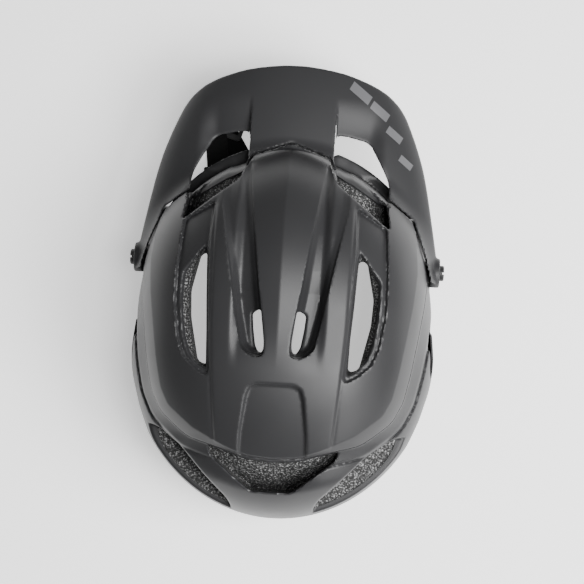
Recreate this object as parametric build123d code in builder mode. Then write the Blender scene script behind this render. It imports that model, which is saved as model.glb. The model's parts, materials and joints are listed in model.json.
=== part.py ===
"""Trail cycling helmet with a tilting visor, standing on the rim of its shell.

Frame: +Z up, the front of the helmet faces -Y and the wearer's left is +X.
The origin is the middle of the bounding box on the surface that the rim stands on.
Millimetres throughout.
"""

import os
from functools import cache
from math import acos, cos, hypot, pi, radians, sin, tan

from build123d import *

os.makedirs("parts", exist_ok=True)

# ---- outer form: a bluff dome, longer than it is wide -------------------------------------
HALF_WIDTH = 108.0
FRONT_CENTRE = 10.0  # y where the front half of the dome begins
REAR_CENTRE = 36.0  # y where the rear half of the dome begins
FRONT_REACH = 116.0
REAR_REACH = 122.5
RING_HEIGHT = 62.0  # height of the widest ring
CROWN_HEIGHT = 178.0
BLUFFNESS = 2.5  # exponent of the dome's profile
RIM_TAPER = 0.05  # how far the wall draws in from the ring to the rim

# ---- wall build-up ------------------------------------------------------------------------
SHELL_THICKNESS = 1.5
DECK_STEP = 1.8  # the upper shell stands this far proud of the lower shell
BOND_GAP = 0.1  # glue line between a shell and the foam
POCKET_DEPTH = 7.5  # the front of the shell is set back this far under the visor
CHANNEL_DEPTH = 7.0
RECESS_DEPTH = 3.0

# ---- head cavity --------------------------------------------------------------------------
CAVITY_HALF_WIDTH = 80.0
CAVITY_FRONT = 90.0
CAVITY_REAR = 95.0
CAVITY_TOP = 150.0
PAD_THICKNESS = 5.0
PAD_GAP = 0.3

# ---- visor --------------------------------------------------------------------------------
VISOR_THICKNESS = 2.4
BRIM_HALF_WIDTH = 112.0
BRIM_REACH = 210.0
BRIM_TOP = RING_HEIGHT + 54.6
PIVOT_Y = -20.0
PIVOT_Z = 80.0
ARM_FACE_X = 108.0  # outer face of the visor arm at the pivot
SCREW_HEAD_RADIUS = 5.5
SCREW_HEAD_HEIGHT = 3.0
SCREW_RADIUS = 2.5
BUSH_RADIUS = 4.6
INSERT_RADIUS = 4.2
RUNNING_GAP = 0.06
CLEARANCE = 0.3

# ---- fit cradle at the back ---------------------------------------------------------------
DIAL_Z = 25.0
CASE_BACK_Y = 122.5
CASE_FRONT_Y = 115.5
CASE_HALF_WIDTH = 24.0
CASE_HALF_HEIGHT = 14.0
CASE_WALL = 1.6
KNOB_RADIUS = 14.0
KNOB_LENGTH = 11.0
SHAFT_RADIUS = 2.6
RACK_THICKNESS = 2.8
GEAR_MODULE = 1.0
GEAR_TEETH = 9
PRESSURE_ANGLE = radians(20)
BACKLASH = 0.3
NOTCH_HALF_WIDTH = 31.0
NOTCH_HEIGHT = 54.0

# ---- webbing ------------------------------------------------------------------------------
STRAP_WIDTH = 16.0
STRAP_THICKNESS = 1.6
STRAP_FLOOR = 1.2  # height of the underside of the webbing where it lies

# ---- plan outlines, given for the left side -----------------------------------------------
DECK_OUTLINE = [
    (0, -101), (27, -92), (30, -80), (34, -73), (68, -46), (67, -60), (70, -67), (87, -55),
    (90, -44), (92, -18), (88, 20), (83, 49), (79, 70), (73, 81), (55, 94), (31, 108),
    (18, 112), (0, 113),
]
SEAM_OUTLINE = [
    (0, -101), (27, -92), (31, -84), (67, -60), (70, -67), (87, -55), (90, -46), (96, -30),
    (101, -12), (125, -6), (125, -190), (0, -190),
]
VISOR_OUTLINE = [
    (0, -158.5), (29, -155), (44, -150.5), (59, -144.5), (68, -138.5), (75, -131), (80, -121),
    (88, -102), (93, -85), (98, -60), (104, -30), (110, -6), (0, -6),
]
VISOR_VENT = [(29, -80), (31, -111), (38, -111), (54, -108), (57, -102), (63, -92), (68, -80),
              (70, -60), (60, -40), (29, -40)]
BROW_VENT = [(31, -86), (34, -73), (67, -47), (66, -64), (56, -80)]
OUTER_VENT = [(47, -30), (60, -17), (66, -10), (66, 10), (63, 34), (59, 44), (46, 51), (42, 50),
              (43, 0)]
INNER_VENT = [(13.5, 5), (9, 33), (9, 41), (12, 42), (18, 38), (21, 25), (25, 5)]
CHANNEL = [(25, -90), (24.5, -74), (18.5, -34), (14.5, -3), (9, 33), (9, 41), (12, 42), (18, 38),
           (21, 25), (29, -8), (34, -41), (41, -62), (36, -90)]
NOSE_GAP = [(0, -112), (30, -112), (30, -70), (0, -70)]
REAR_RECESS = [(0, 62), (15, 62), (18.5, 67), (22, 120), (0, 120)]
REAR_CENTRE_VENT = [(0, 152), (27, 150), (9, 133), (0, 133)]  # x, z seen from behind
REAR_SIDE_VENT = [(70, 130), (46, 141), (27, 131), (10, 106), (30, 92), (44, 104), (59, 116)]
BROW_ARCH = [(-112, 64), (-80, 56), (-50, 36), (-32, 12), (-20, 0)]  # y, z seen from the side
EAR_ARCH = [(3, 0), (14, 14), (36, 23), (58, 20), (78, 10), (90, 0)]
POCKET_SIDE = [(0, 60), (-55, 64), (-85, 80), (-130, 84), (-130, 200), (60, 200), (20, 92)]
SIDE_WINDOW = [(-2, 80), (40, 72), (58, 82), (50, 98), (6, 100)]
TALL = 220.0


@cache
def superdome(half_width, front_reach, rear_reach, top, taper):
    """Solid dome: two half revolutions stretched to their reach, with a straight middle."""
    steps = 14
    profile = []
    for step in range(steps + 1):
        turn = pi / 2 * step / steps
        radius = half_width * sin(turn) ** (2 / BLUFFNESS)
        height = RING_HEIGHT + (top - RING_HEIGHT) * cos(turn) ** (2 / BLUFFNESS)
        profile.append((radius, height))
    profile.append((half_width * (1 - taper / 4), RING_HEIGHT / 2))
    profile.append((half_width * (1 - taper), 0))
    foot_slope = -2 * taper * half_width / RING_HEIGHT
    with BuildPart() as half_turn:
        with BuildSketch(Plane.XZ):
            with BuildLine():
                Spline(*profile, tangents=[(1, 0), (foot_slope, -1)])
                Polyline(profile[-1], (0, 0), profile[0])
            make_face()
        revolve(axis=Axis.Z, revolution_arc=180)
    with BuildPart() as middle:
        with BuildSketch(Plane.XZ.offset(-FRONT_CENTRE)):
            with BuildLine():
                Spline(*profile, tangents=[(1, 0), (foot_slope, -1)])
                Polyline(profile[-1], (0, 0), profile[0])
            make_face()
            mirror(about=Plane.YZ)
        extrude(amount=FRONT_CENTRE - REAR_CENTRE)
    rear = scale(half_turn.part, by=(1, rear_reach / half_width, 1))
    front = scale(mirror(half_turn.part, about=Plane.XZ), by=(1, front_reach / half_width, 1))
    return middle.part + Pos(0, REAR_CENTRE, 0) * rear + Pos(0, FRONT_CENTRE, 0) * front


def outer_dome(inset):
    """The helmet's outer form, drawn in by inset."""
    return superdome(
        HALF_WIDTH - inset, FRONT_REACH - inset, REAR_REACH - inset, CROWN_HEIGHT - inset, RIM_TAPER
    )


def cavity_dome(inset):
    """The space for the head, drawn in by inset."""
    return superdome(
        CAVITY_HALF_WIDTH - inset, CAVITY_FRONT - inset, CAVITY_REAR - inset, CAVITY_TOP - inset, 0.0
    )


def brim_dome(inset):
    """The long low form that the visor's brim follows."""
    return superdome(
        BRIM_HALF_WIDTH - inset, BRIM_REACH - inset, REAR_REACH - inset, BRIM_TOP - inset, 0.0
    )


def plan_prism(outline, low=0.0, high=TALL, spread=0.0):
    """Upright prism on a plan outline and its mirror image, grown sideways by spread."""
    with BuildPart() as prism:
        with BuildSketch(Plane.XY.offset(low)):
            with BuildLine():
                Polyline(*outline, close=True)
            make_face()
            mirror(about=Plane.YZ)
            if spread:
                offset(amount=spread, kind=Kind.INTERSECTION)
        extrude(amount=high - low)
    return prism.part


def side_prism(outline, smooth=False):
    """Prism across the whole width on an outline seen from the side."""
    with BuildPart() as prism:
        with BuildSketch(Plane.YZ):
            with BuildLine():
                if smooth:
                    Spline(*outline)
                    Polyline(outline[-1], (outline[-1][0], -10), (outline[0][0], -10), outline[0])
                else:
                    Polyline(*outline, close=True)
            make_face()
        extrude(amount=TALL, both=True)
    return prism.part


def rear_prism(outline, near, far):
    """Prism along Y between near and far, on an outline seen from behind, and its mirror."""
    with BuildPart() as prism:
        with BuildSketch(Plane.XZ.offset(-near)):
            with BuildLine():
                Polyline(*outline, close=True)
            make_face()
            mirror(about=Plane.YZ)
        extrude(amount=near - far)
    return prism.part


def keep(builder, name, color):
    """Label a finished piece and write it."""
    builder.part.label = name
    builder.part.color = Color(color)
    export_step(builder.part, f"parts/{name}.step")


# ---- shared cutting forms -----------------------------------------------------------------
ARCHES = side_prism(BROW_ARCH, smooth=True) + side_prism(EAR_ARCH, smooth=True)
with BuildPart() as nape_notch:
    with BuildSketch(Plane.XZ.offset(-90)):
        with BuildLine():
            Polyline((-NOTCH_HALF_WIDTH, -10), (-NOTCH_HALF_WIDTH, 30))
            ThreePointArc((-NOTCH_HALF_WIDTH, 30), (0, NOTCH_HEIGHT), (NOTCH_HALF_WIDTH, 30))
            Polyline((NOTCH_HALF_WIDTH, 30), (NOTCH_HALF_WIDTH, -10), (-NOTCH_HALF_WIDTH, -10))
        make_face()
    extrude(amount=-90)
RIM_CUTS = ARCHES + nape_notch.part
TOP_VENTS = plan_prism(OUTER_VENT) + plan_prism(INNER_VENT) + plan_prism(BROW_VENT, low=98)
REAR_VENTS = rear_prism(REAR_CENTRE_VENT, 118, 170) + rear_prism(REAR_SIDE_VENT, 60, 170)
POCKET = (side_prism(POCKET_SIDE) & plan_prism(SEAM_OUTLINE)) - outer_dome(POCKET_DEPTH)


def deck_form(inset):
    """Raised upper form with its air channels and rear recess, drawn in by inset."""
    channels = plan_prism(CHANNEL, low=100, spread=inset) - outer_dome(CHANNEL_DEPTH + inset)
    recess = plan_prism(REAR_RECESS, low=100, spread=inset) - outer_dome(RECESS_DEPTH + inset)
    return outer_dome(inset) - channels - recess


def make_upper_shell():
    """Moulded skin of the crown, bonded to the foam."""
    skin = deck_form(0.0) - deck_form(SHELL_THICKNESS)
    outline = plan_prism(DECK_OUTLINE, low=84)
    with BuildPart() as upper_shell:
        add(skin)
        add(outline, mode=Mode.INTERSECT)
        add(TOP_VENTS + REAR_VENTS, mode=Mode.SUBTRACT)
    keep(upper_shell, "upper_shell", 0x2E2E30)
    return upper_shell.part


def make_lower_shell():
    """Moulded skin of the sides, brow and nape; its upper edge tucks under the upper shell."""
    tuck = 4.0
    skin = outer_dome(DECK_STEP) - outer_dome(DECK_STEP + SHELL_THICKNESS)
    under_deck = plan_prism(DECK_OUTLINE, low=84, spread=-tuck)
    front_vents = plan_prism(BROW_VENT, low=98) + plan_prism(CHANNEL, low=98)
    front_vents += plan_prism(NOSE_GAP, low=88)
    windows = side_prism(SIDE_WINDOW)
    with BuildPart() as lower_shell:
        add(skin)
        add(under_deck, mode=Mode.SUBTRACT)
        add(POCKET + RIM_CUTS + REAR_VENTS, mode=Mode.SUBTRACT)
        add(front_vents + windows, mode=Mode.SUBTRACT)
        add(INSERT_BORES, mode=Mode.SUBTRACT)
    keep(lower_shell, "lower_shell", 0x343436)


def make_liner():
    """Energy-absorbing foam body, with the cavity, vents, pocket and rim."""
    low_inset = DECK_STEP + SHELL_THICKNESS + BOND_GAP
    raised = plan_prism(DECK_OUTLINE, low=84, spread=-2.0) & deck_form(SHELL_THICKNESS + BOND_GAP)
    channels = plan_prism(CHANNEL, low=100, spread=2.0) - outer_dome(CHANNEL_DEPTH + low_inset)
    body = outer_dome(low_inset) - channels
    cavity = cavity_dome(0.0)
    with BuildPart() as eps_liner:
        add(body)
        add(raised)
        add(cavity, mode=Mode.SUBTRACT)
        add(TOP_VENTS + REAR_VENTS + RIM_CUTS + POCKET, mode=Mode.SUBTRACT)
        add(INSERT_BORES, mode=Mode.SUBTRACT)
        add(ANCHOR_SEATS, mode=Mode.SUBTRACT)
    keep(eps_liner, "eps_liner", 0x1B1B1D)
    return eps_liner.part


# ---- visor and its pivot ------------------------------------------------------------------
def axle(side, near, far, radius):
    """Cylinder on the pivot axis between two distances from the middle plane."""
    middle = side * (near + far) / 2
    rod = Cylinder(radius, far - near, rotation=(0, 90, 0), mode=Mode.PRIVATE)
    return Pos(middle, PIVOT_Y, PIVOT_Z) * rod


INSERT_INNER_X = 84.0
INSERT_OUTER_X = 96.0
BOSS_RADIUS = 8.0
CUP_RADIUS = 10.4
CUP_INNER_X = 101.5
BOSS_OUTER_X = ARM_FACE_X - VISOR_THICKNESS - CLEARANCE - 0.6
INSERT_BORES = Part()
for bore_side in (-1, 1):
    INSERT_BORES += axle(bore_side, INSERT_INNER_X, 120, INSERT_RADIUS)
    INSERT_BORES += axle(bore_side, INSERT_OUTER_X, 120, BOSS_RADIUS + 0.2)
    INSERT_BORES += axle(bore_side, CUP_INNER_X - 1.5, 120, CUP_RADIUS + 0.8)


def make_visor():
    """Flush over the front of the shell, then out along the brim, with two open vents."""
    top_form = outer_dome(0.0) + brim_dome(0.0)
    under_form = outer_dome(VISOR_THICKNESS) + brim_dome(VISOR_THICKNESS)
    ahead_of_seam = plan_prism(SEAM_OUTLINE, low=70, spread=-0.4)
    outline = plan_prism(VISOR_OUTLINE, low=70)
    vents = plan_prism(VISOR_VENT)
    with BuildPart() as visor:
        add(top_form)
        add(under_form, mode=Mode.SUBTRACT)
        add(ahead_of_seam, mode=Mode.INTERSECT)
        add(outline, mode=Mode.INTERSECT)
        add(vents, mode=Mode.SUBTRACT)
        for side in (-1, 1):
            add(axle(side, CUP_INNER_X, ARM_FACE_X, CUP_RADIUS))
        for side in (-1, 1):
            add(axle(side, 80, ARM_FACE_X - VISOR_THICKNESS, BOSS_RADIUS + 0.6), mode=Mode.SUBTRACT)
            add(axle(side, 80, 120, BUSH_RADIUS), mode=Mode.SUBTRACT)
    keep(visor, "visor", 0x3C3C3F)
    return visor.part


def make_pivot(side, word):
    """Thumb screw, bush, boss and threaded insert on one side of the visor."""
    inner_face = ARM_FACE_X - VISOR_THICKNESS
    with BuildPart() as visor_bush:
        add(axle(side, inner_face - CLEARANCE, ARM_FACE_X + 0.2, BUSH_RADIUS))
        add(axle(side, 90, 120, SCREW_RADIUS + RUNNING_GAP), mode=Mode.SUBTRACT)
    keep(visor_bush, f"visor_bush_{word}", 0x8A8A8A)

    with BuildPart() as visor_screw:
        head_base = ARM_FACE_X + 0.5
        add(axle(side, head_base, head_base + SCREW_HEAD_HEIGHT, SCREW_HEAD_RADIUS))
        outer_face = visor_screw.faces().sort_by(Axis.X)[-1 if side > 0 else 0]
        fillet(outer_face.edges(), 1.2)
        add(axle(side, INSERT_INNER_X + 2, head_base, SCREW_RADIUS))
        slot_x = side * (head_base + SCREW_HEAD_HEIGHT)
        with Locations((slot_x, PIVOT_Y, PIVOT_Z)):
            Box(2.4, 1.4, 2 * SCREW_HEAD_RADIUS + 1, mode=Mode.SUBTRACT)
    keep(visor_screw, f"visor_screw_{word}", 0x111112)

    with BuildPart() as pivot_boss:
        add(axle(side, INSERT_OUTER_X, BOSS_OUTER_X, BOSS_RADIUS))
        add(axle(side, 90, 120, SCREW_RADIUS + RUNNING_GAP), mode=Mode.SUBTRACT)
    keep(pivot_boss, f"pivot_boss_{word}", 0x222224)

    with BuildPart() as visor_insert:
        add(axle(side, INSERT_INNER_X, INSERT_OUTER_X - 0.1, INSERT_RADIUS))
        add(axle(side, INSERT_INNER_X + 1.5, 120, SCREW_RADIUS), mode=Mode.SUBTRACT)
    keep(visor_insert, f"visor_insert_{word}", 0xB08D3C)


# ---- comfort pads -------------------------------------------------------------------------
def pad_between(x_range, y_range, z_range):
    """Piece of the padding layer that lines the cavity, within a box."""
    centre = [(low + high) / 2 for low, high in (x_range, y_range, z_range)]
    size = [high - low for low, high in (x_range, y_range, z_range)]
    layer = cavity_dome(PAD_GAP) - cavity_dome(PAD_GAP + PAD_THICKNESS)
    return layer & (Pos(*centre) * Box(*size, mode=Mode.PRIVATE))


def make_pads():
    """Soft pads held on the inside of the foam."""
    places = {
        "brow_pad": ((-56, 56), (-90, -20), (66, 84)),
        "crown_pad": ((-7.5, 7.5), (-34, 92), (120, 160)),
        "side_pad_left": ((60, 90), (0, 66), (78, 98)),
        "side_pad_right": ((-90, -60), (0, 66), (78, 98)),
        "rear_pad_left": ((16, 52), (96, 140), (66, 84)),
        "rear_pad_right": ((-52, -16), (96, 140), (66, 84)),
    }
    for name, ranges in places.items():
        form = pad_between(*ranges)
        with BuildPart() as pad:
            add(form)
        keep(pad, name, 0x26262A)


# ---- fit cradle ---------------------------------------------------------------------------
PITCH_RADIUS = GEAR_MODULE * GEAR_TEETH / 2
TIP_RADIUS = PITCH_RADIUS + 0.8 * GEAR_MODULE
ROOT_RADIUS = PITCH_RADIUS - 1.15 * GEAR_MODULE
RACK_MIDDLE_Y = (CASE_FRONT_Y + CASE_BACK_Y) / 2 - 0.2


def involute(angle):
    """The involute function of an angle."""
    return tan(angle) - angle


def pinion_outline():
    """Points around a small involute pinion, one tooth pointing straight up."""
    base_radius = PITCH_RADIUS * cos(PRESSURE_ANGLE)
    pitch_half = pi / (2 * GEAR_TEETH) - BACKLASH / (4 * PITCH_RADIUS)
    flank = []
    for radius in (base_radius, PITCH_RADIUS - 0.1, PITCH_RADIUS + 0.35, TIP_RADIUS):
        pressure = acos(min(1.0, base_radius / radius))
        half = pitch_half + involute(PRESSURE_ANGLE) - involute(pressure)
        flank.append((radius, half))
    flank.insert(0, (ROOT_RADIUS, flank[0][1] + 0.05))
    points = []
    for tooth in range(GEAR_TEETH):
        middle = pi / 2 + 2 * pi * tooth / GEAR_TEETH
        for radius, half in flank:
            points.append((radius * cos(middle - half), radius * sin(middle - half)))
        for radius, half in reversed(flank):
            points.append((radius * cos(middle + half), radius * sin(middle + half)))
    return points


def rack_outline(first, count, upward):
    """Rack tooth profile in x and z about the pinion axis, as a closed outline with its bar."""
    pitch = pi * GEAR_MODULE
    sign = 1 if upward else -1
    half = pitch / 4 - BACKLASH / 4
    tip = PITCH_RADIUS - 0.8 * GEAR_MODULE
    root = PITCH_RADIUS + 1.0 * GEAR_MODULE
    slope = tan(PRESSURE_ANGLE)
    points = []
    for tooth in range(count):
        middle = first + pitch * tooth
        points.append((middle - half - slope * (root - PITCH_RADIUS), sign * root))
        points.append((middle - half + slope * (PITCH_RADIUS - tip), sign * tip))
        points.append((middle + half - slope * (PITCH_RADIUS - tip), sign * tip))
        points.append((middle + half + slope * (root - PITCH_RADIUS), sign * root))
    return points


ARM_HEIGHT = 8.0
ARM_THICKNESS = 2.2
ARM_CURVE = [(27, 0), (35, -5.5), (44, -14.8), (50, -23), (55, -34)]  # plan, from the rack's middle


def make_arm(side, word, upward):
    """Toothed bar inside the case and the springy arm that wraps forward along the head."""
    pitch = pi * GEAR_MODULE
    sign = 1 if upward else -1
    # A gap of the upper rack faces the tooth that points up; the pinion has an odd number of
    # teeth, so a tooth of the lower rack faces the gap that points down.
    first = (0.5 if upward else 0.0) * pitch - 4 * pitch
    teeth = rack_outline(first, 8, upward)
    bar_low = sign * (PITCH_RADIUS + 1.0 * GEAR_MODULE)
    bar_high = sign * (CASE_HALF_HEIGHT - CASE_WALL - CLEARANCE)
    end = ARM_CURVE[0][0]
    inner_end = -15.0
    outline = [(inner_end, bar_high), (inner_end, bar_low)]
    outline += teeth
    outline += [(end, bar_low), (end, bar_high)]
    if side < 0:
        outline = [(-x, z) for x, z in outline]
    rack_plane = Plane(origin=(0, RACK_MIDDLE_Y + RACK_THICKNESS / 2, DIAL_Z), x_dir=(1, 0, 0),
                       z_dir=(0, -1, 0))
    arm_middle_z = DIAL_Z + sign * (abs(bar_low) + abs(bar_high)) / 2
    with BuildPart() as arm:
        with BuildSketch(rack_plane):
            with BuildLine():
                Polyline(*outline, close=True)
            make_face()
        extrude(amount=RACK_THICKNESS)
        with BuildSketch(Plane.XY.offset(arm_middle_z - ARM_HEIGHT / 2)):
            with BuildLine():
                Spline(*[(side * x, RACK_MIDDLE_Y + y) for x, y in ARM_CURVE],
                       tangents=[(side, 0), (side * 0.25, -1)])
            trace(line_width=ARM_THICKNESS)
        extrude(amount=ARM_HEIGHT)
    keep(arm, f"arm_{word}", 0x2A2A2C)
    return arm.part


def make_dial():
    """Knob behind the case, on the shaft of the pinion that drives both racks."""
    knob_start = CASE_BACK_Y + 0.5
    pinion_plane = Plane(origin=(0, RACK_MIDDLE_Y + RACK_THICKNESS / 2, DIAL_Z), x_dir=(1, 0, 0),
                         z_dir=(0, -1, 0))
    with BuildPart() as dial_pinion:
        with BuildSketch(pinion_plane):
            with BuildLine():
                Polyline(*pinion_outline(), close=True)
            make_face()
        extrude(amount=RACK_THICKNESS)
        shaft_end = knob_start + 6.0
        with Locations((0, (RACK_MIDDLE_Y + shaft_end) / 2, DIAL_Z)):
            Cylinder(SHAFT_RADIUS, shaft_end - RACK_MIDDLE_Y, rotation=(90, 0, 0))
    keep(dial_pinion, "dial_pinion", 0xC8C4B8)

    with BuildPart() as dial_knob:
        with BuildSketch(Plane.XZ.offset(-knob_start)):
            with Locations((0, DIAL_Z)):
                Circle(KNOB_RADIUS)
                with PolarLocations(KNOB_RADIUS + 1.2, 18):
                    Circle(1.9, mode=Mode.SUBTRACT)
        extrude(amount=-KNOB_LENGTH)
        chamfer(dial_knob.faces().sort_by(Axis.Y)[-1].edges(), 0.6)
        with Locations((0, knob_start + 3.0, DIAL_Z)):
            Cylinder(SHAFT_RADIUS, 6.0, rotation=(90, 0, 0), mode=Mode.SUBTRACT)
    keep(dial_knob, "dial_knob", 0x1C1C1E)


SLIDE_TRAVEL = 10.0
TONGUE_BACK_Y = 122.5
TONGUE_THICKNESS = 2.4
TONGUE_WIDTH = 12.0
RAIL_HALF_WIDTH = 9.0
RAIL_LOW = 57.0
RAIL_HIGH = 96.0


def make_cradle():
    """Two-part case of the fit cradle, with the tongue that slides on the height rail."""
    middle_y = (CASE_FRONT_Y + CASE_BACK_Y) / 2
    depth = CASE_BACK_Y - CASE_FRONT_Y
    height = 2 * CASE_HALF_HEIGHT
    with BuildPart() as cradle_case:
        with Locations((0, middle_y + 0.8, DIAL_Z)):
            Box(2 * CASE_HALF_WIDTH, depth - 1.6, height)
        with Locations((0, middle_y - CASE_WALL + 0.8, DIAL_Z)):
            Box(200, depth - 1.6, height - 2 * CASE_WALL, mode=Mode.SUBTRACT)
        with Locations((0, CASE_BACK_Y, DIAL_Z)):
            Cylinder(SHAFT_RADIUS + RUNNING_GAP, 20, rotation=(90, 0, 0), mode=Mode.SUBTRACT)
        tongue_low = DIAL_Z + CASE_HALF_HEIGHT - CASE_WALL
        tongue_high = RAIL_HIGH - SLIDE_TRAVEL - 4
        with Locations((0, TONGUE_BACK_Y - TONGUE_THICKNESS / 2, (tongue_low + tongue_high) / 2)):
            Box(TONGUE_WIDTH, TONGUE_THICKNESS, tongue_high - tongue_low)
    keep(cradle_case, "cradle_case", 0x2A2A2C)

    with BuildPart() as cradle_cover:
        with Locations((0, CASE_FRONT_Y + 0.7, DIAL_Z)):
            Box(2 * CASE_HALF_WIDTH, 1.4, height)
        fillet(cradle_cover.edges().filter_by(Axis.Y), 3.0)
    keep(cradle_cover, "cradle_cover", 0x2A2A2C)

    with BuildPart() as cradle_screws:
        for side in (-1, 1):
            for end in (-1, 1):
                at = (side * (CASE_HALF_WIDTH - 3), CASE_FRONT_Y - 0.6, DIAL_Z + end * (CASE_HALF_HEIGHT - 3))
                with Locations(at):
                    Cylinder(2.0, 1.2, rotation=(90, 0, 0))
    keep(cradle_screws, "cradle_screws", 0x9A9A9C)

    with BuildPart() as height_rail:
        rail_front = TONGUE_BACK_Y + 0.5
        rail_back = 130.0
        lip_depth = TONGUE_THICKNESS + 1.0
        lip_inner = TONGUE_WIDTH / 2 + CLEARANCE
        with Locations((0, (rail_front + rail_back) / 2, (RAIL_LOW + RAIL_HIGH) / 2)):
            Box(2 * RAIL_HALF_WIDTH, rail_back - rail_front, RAIL_HIGH - RAIL_LOW)
        for side in (-1, 1):
            at = (side * (lip_inner + RAIL_HALF_WIDTH) / 2, rail_front - lip_depth / 2)
            with Locations((*at, (RAIL_LOW + RAIL_HIGH) / 2)):
                Box(RAIL_HALF_WIDTH - lip_inner, lip_depth, RAIL_HIGH - RAIL_LOW)
    keep(height_rail, "height_rail", 0x2A2A2C)

    for side, word in ((-1, "right"), (1, "left")):
        with BuildPart() as nape_pad:
            with Locations((side * 13.5, CASE_FRONT_Y - 2.1, DIAL_Z)):
                Box(14, 4, 18)
            fillet(nape_pad.edges().filter_by(Axis.Y), 4.0)
            fillet(nape_pad.faces().sort_by(Axis.Y)[0].edges(), 1.5)
        keep(nape_pad, f"nape_pad_{word}", 0x26262A)


# ---- webbing, anchors, dividers and buckle ------------------------------------------------
ANCHORS = {"front": (-36.0, 42.0), "rear": (68.0, 44.0)}  # y and z on the cavity wall
ANCHOR_RADIUS = 8.0
LEFT_DIVIDER = (21.0, -66.0)
CHIN_HEADING = (0.533, -0.846)
RIGHT_DIVIDER_Y = 26.0
WEB_MIDDLE = STRAP_FLOOR + STRAP_THICKNESS / 2


def wall_point(y, side):
    """Where the upright part of the cavity wall stands at y, and its outward direction."""
    centre = max(FRONT_CENTRE, min(y, REAR_CENTRE))
    reach = CAVITY_REAR if y > REAR_CENTRE else CAVITY_FRONT
    along = (y - centre) / reach
    x = CAVITY_HALF_WIDTH * (1 - along * along) ** 0.5
    normal = Vector(x / CAVITY_HALF_WIDTH**2, (y - centre) / reach**2, 0).normalized()
    return side * x, Vector(side * normal.X, normal.Y, 0)


def anchor_disc(place, side, near, far, radius):
    """Disc on the cavity wall between two depths, positive outwards into the foam."""
    y, z = ANCHORS[place]
    x, normal = wall_point(y, side)
    plane = Plane(origin=Vector(x, y, z) + normal * near, z_dir=normal)
    with BuildPart() as disc:
        with BuildSketch(plane):
            Circle(radius)
        extrude(amount=far - near)
    return disc.part


ANCHOR_SEATS = Part()
for seat_place in ANCHORS:
    for seat_side in (-1, 1):
        ANCHOR_SEATS += anchor_disc(seat_place, seat_side, -6, 6.0, ANCHOR_RADIUS + 0.15)


def make_anchors():
    """Discs set into the foam that the straps come out of."""
    for place in ANCHORS:
        for side, word in ((-1, "right"), (1, "left")):
            disc = anchor_disc(place, side, -0.2, 5.9, ANCHOR_RADIUS)
            with BuildPart() as anchor:
                add(disc)
                rim = anchor.edges().filter_by(GeomType.CIRCLE).sort_by(Axis.X)
                chamfer(rim[0 if side > 0 else -1], 0.4)
            keep(anchor, f"{place}_strap_anchor_{word}", 0x242426)


def ribbon(start, heading, path, width=STRAP_WIDTH):
    """Webbing whose path lies in an upright plane: distance along the heading, and height."""
    length = hypot(*heading)
    along = (heading[0] / length, heading[1] / length, 0)
    plane = Plane(origin=(start[0], start[1], 0), x_dir=along, z_dir=(along[1], -along[0], 0))
    with BuildPart() as band:
        with BuildSketch(plane):
            with BuildLine():
                Spline(*path)
            trace(line_width=STRAP_THICKNESS)
        extrude(amount=width / 2, both=True)
    return band.part


def wall_band(start, end, side):
    """Webbing that lies flat against the cavity wall between two points given as y and z."""
    run = Vector(end[0] - start[0], end[1] - start[1])
    across = Vector(-run.Y, run.X).normalized() * (STRAP_WIDTH / 2)
    corners = [
        (start[0] + across.X, start[1] + across.Y), (end[0] + across.X, end[1] + across.Y),
        (end[0] - across.X, end[1] - across.Y), (start[0] - across.X, start[1] - across.Y),
    ]
    layer = cavity_dome(0.6) - cavity_dome(0.6 + STRAP_THICKNESS)
    half_space = Pos(side * 100, 0, 0) * Box(200, 400, 400, mode=Mode.PRIVATE)
    return layer & side_prism(corners) & half_space


def make_left_straps():
    """Left webbing: both straps run to a divider inside, then forward under the visor."""
    front_x, _ = wall_point(ANCHORS["front"][0], 1)
    rear_x, _ = wall_point(ANCHORS["rear"][0], 1)
    front_start = (front_x - 5.5, ANCHORS["front"][0] + 1)
    to_divider = (LEFT_DIVIDER[0] + 9 - front_start[0], LEFT_DIVIDER[1] + 7 - front_start[1])
    reach = hypot(*to_divider)
    drop = [(0, 42), (3, 26), (11, 10), (24, 2.6), (34, WEB_MIDDLE), (reach, WEB_MIDDLE)]
    band = ribbon(front_start, to_divider, drop)
    with BuildPart() as front_strap:
        add(band)
    keep(front_strap, "front_strap_left", 0x0E0E0F)

    fold = (43.0, 68.0)
    fold_run = rear_x - 2.6 - fold[0] + STRAP_WIDTH / 2
    back_run = (LEFT_DIVIDER[0] + 3 - fold[0], LEFT_DIVIDER[1] + 12 - fold[1])
    back_reach = hypot(*back_run)
    drop = [(0, 44), (2.5, 26), (10, 8), (20, 2.4), (fold_run - 10, WEB_MIDDLE),
            (fold_run, WEB_MIDDLE)]
    first_leg = ribbon((rear_x - 2.6, fold[1]), (-1, 0), drop)
    upper = WEB_MIDDLE + STRAP_THICKNESS
    lay = [(-8, upper), (10, upper), (34, WEB_MIDDLE + 0.2), (60, WEB_MIDDLE),
           (back_reach, WEB_MIDDLE)]
    second_leg = ribbon(fold, back_run, lay)
    with BuildPart() as rear_strap:
        add(first_leg)
        add(second_leg)
    keep(rear_strap, "rear_strap_left", 0x0E0E0F)

    chin_start = (LEFT_DIVIDER[0] + 11 * CHIN_HEADING[0], LEFT_DIVIDER[1] + 11 * CHIN_HEADING[1])
    lay = [(0, WEB_MIDDLE), (10, WEB_MIDDLE + 0.4), (26, WEB_MIDDLE + 1.4), (40, WEB_MIDDLE + 0.3),
           (52, 3.2)]
    band = ribbon(chin_start, CHIN_HEADING, lay)
    with BuildPart() as chin_strap:
        add(band)
    keep(chin_strap, "chin_strap_left", 0x0E0E0F)

    tail_start = (61.0, -117.0)
    band = ribbon(tail_start, (-0.1, 1), [(0, 7.4), (14, 6.2), (30, 3.4), (44, 2.6), (56, 4.0)])
    with BuildPart() as strap_tail:
        add(band)
    keep(strap_tail, "chin_strap_tail", 0x0E0E0F)


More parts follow.
